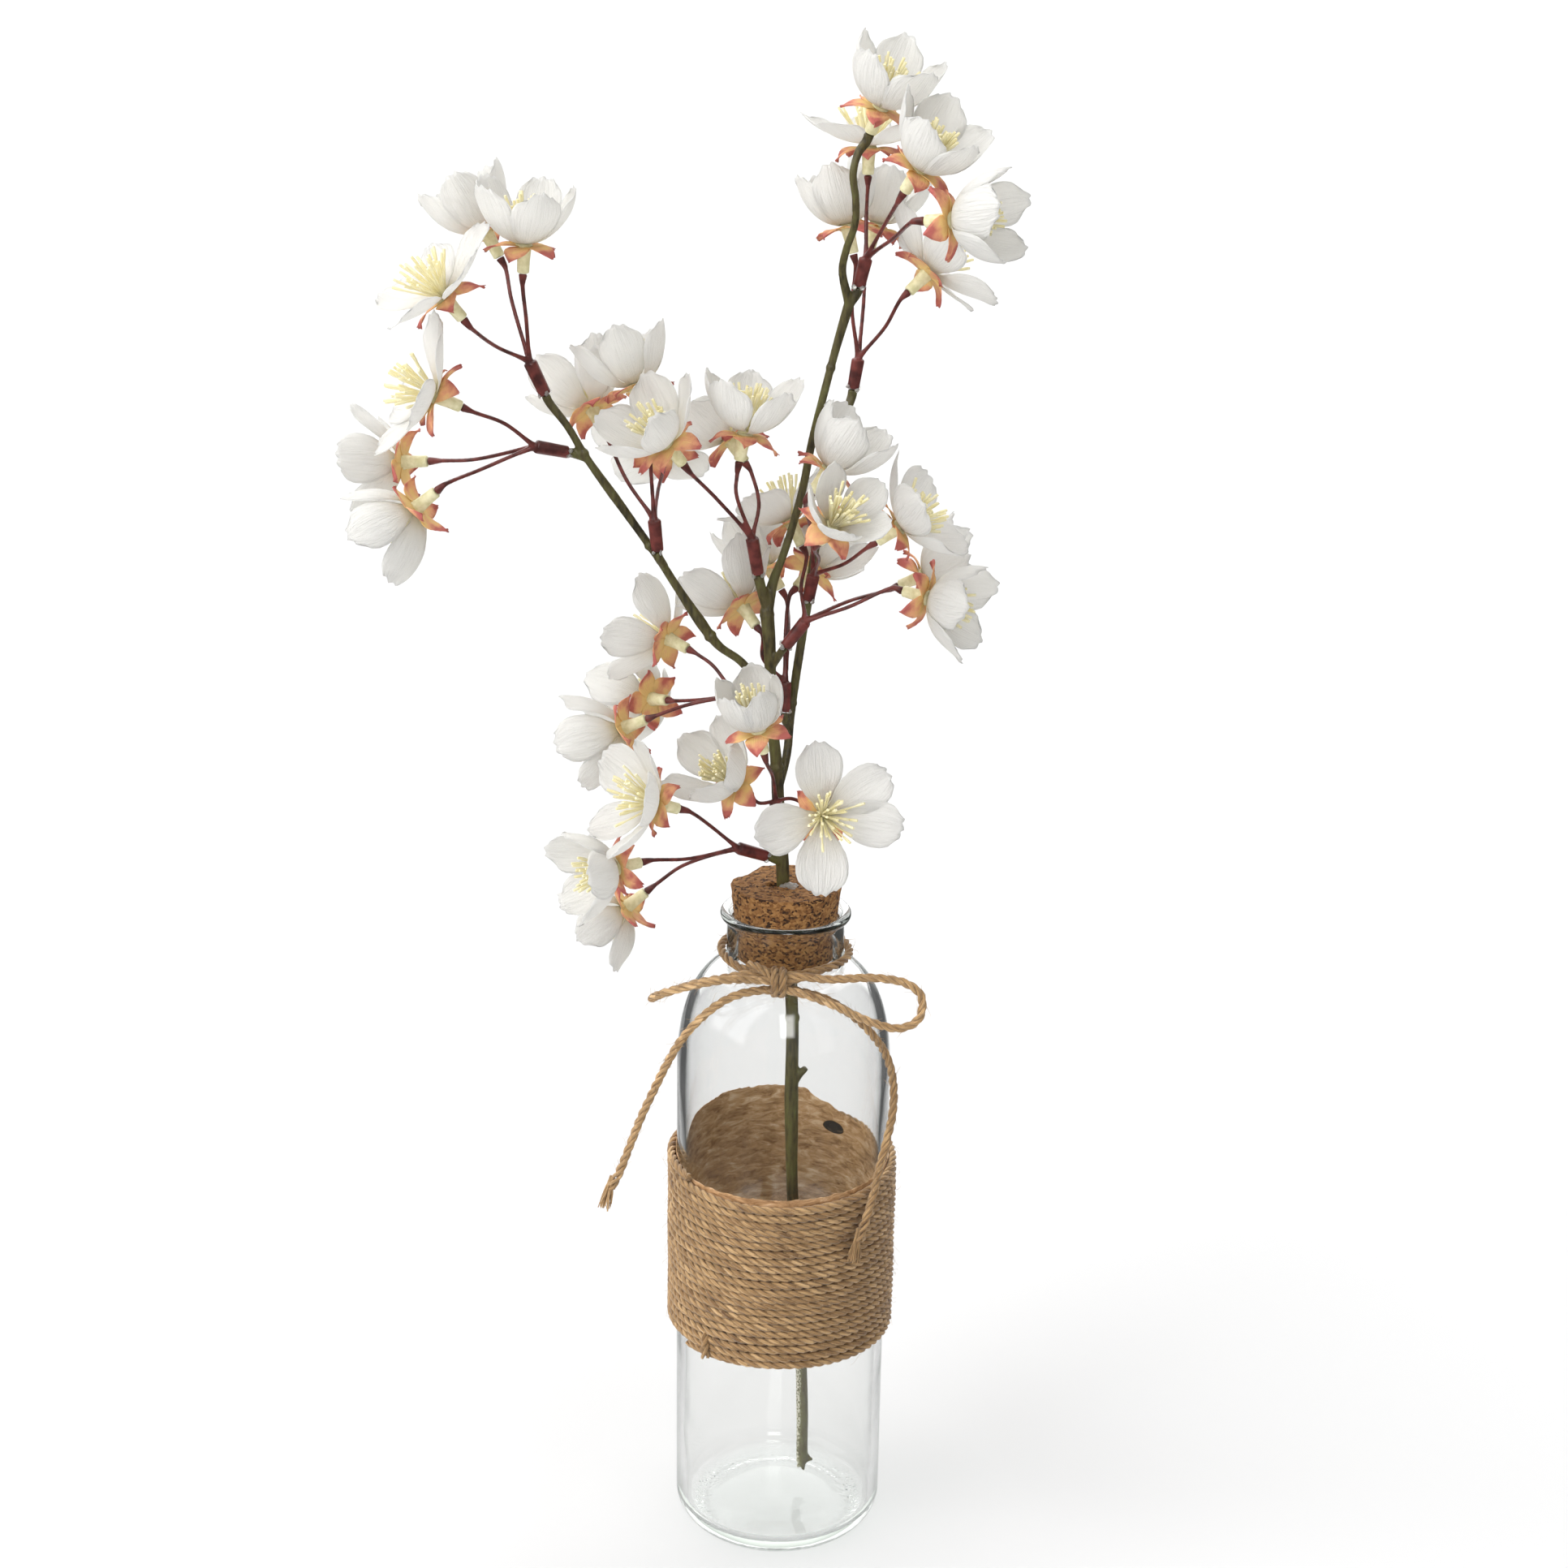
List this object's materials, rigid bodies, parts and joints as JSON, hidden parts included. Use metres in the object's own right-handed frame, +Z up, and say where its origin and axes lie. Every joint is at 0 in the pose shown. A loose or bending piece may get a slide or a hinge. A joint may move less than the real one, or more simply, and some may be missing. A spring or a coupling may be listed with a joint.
{
  "type": "artificial cherry blossom branch in a corked glass bottle vase",
  "caption": "Artificial cherry blossom branch held upright by a cork in a clear glass bottle wound with a jute twine band and tied at the neck with a twine bow.",
  "frame": {"origin": "centre of the bottle's flat underside, on the surface it stands on", "axes": "+Z up the bottle's axis; the twine bow faces -Y and the longer left branch reaches towards -X"},
  "size_m": [0.2154, 0.1335, 0.5353],
  "materials": {
    "glass": "clear",
    "cork": "matte",
    "jute": "matte",
    "bark": "satin",
    "sleeve": "satin",
    "blossom": "matte"
  },
  "bodies": {
    "root": {"glass_bottle": "glass", "cork_stopper": "cork", "jute_wrap": "jute", "neck_twine": "jute", "bow_loop_left": "jute", "bow_loop_right": "jute", "bow_tail_left": "jute", "bow_tail_right": "jute", "main_stem": "bark", "left_branch": "bark", "back_branch": "bark", "sprig_a": "sleeve", "flower_a1": "blossom", "flower_a2": "blossom", "flower_a3": "blossom", "sprig_b": "sleeve", "flower_b1": "blossom", "flower_b2": "blossom", "flower_b3": "blossom", "sprig_c": "sleeve", "flower_c1": "blossom", "flower_c2": "blossom", "flower_c3": "blossom", "sprig_d": "sleeve", "flower_d1": "blossom", "flower_d2": "blossom", "flower_d3": "blossom", "sprig_e": "sleeve", "flower_e1": "blossom", "flower_e2": "blossom", "flower_e3": "blossom", "sprig_f": "sleeve", "flower_f1": "blossom", "flower_f2": "blossom", "flower_f3": "blossom", "sprig_g": "sleeve", "flower_g1": "blossom", "flower_g2": "blossom", "flower_g3": "blossom", "sprig_h": "sleeve", "flower_h1": "blossom", "flower_h2": "blossom", "flower_h3": "blossom", "sprig_i": "sleeve", "flower_i1": "blossom", "flower_i2": "blossom", "flower_i3": "blossom", "sprig_k": "sleeve", "flower_k1": "blossom", "flower_k2": "blossom", "flower_k3": "blossom", "sprig_l": "sleeve", "flower_l1": "blossom", "flower_l2": "blossom", "flower_l3": "blossom", "sprig_m": "sleeve", "flower_m1": "blossom", "flower_m2": "blossom", "flower_m3": "blossom", "flower_tip": "blossom"}
  },
  "joints": []
}
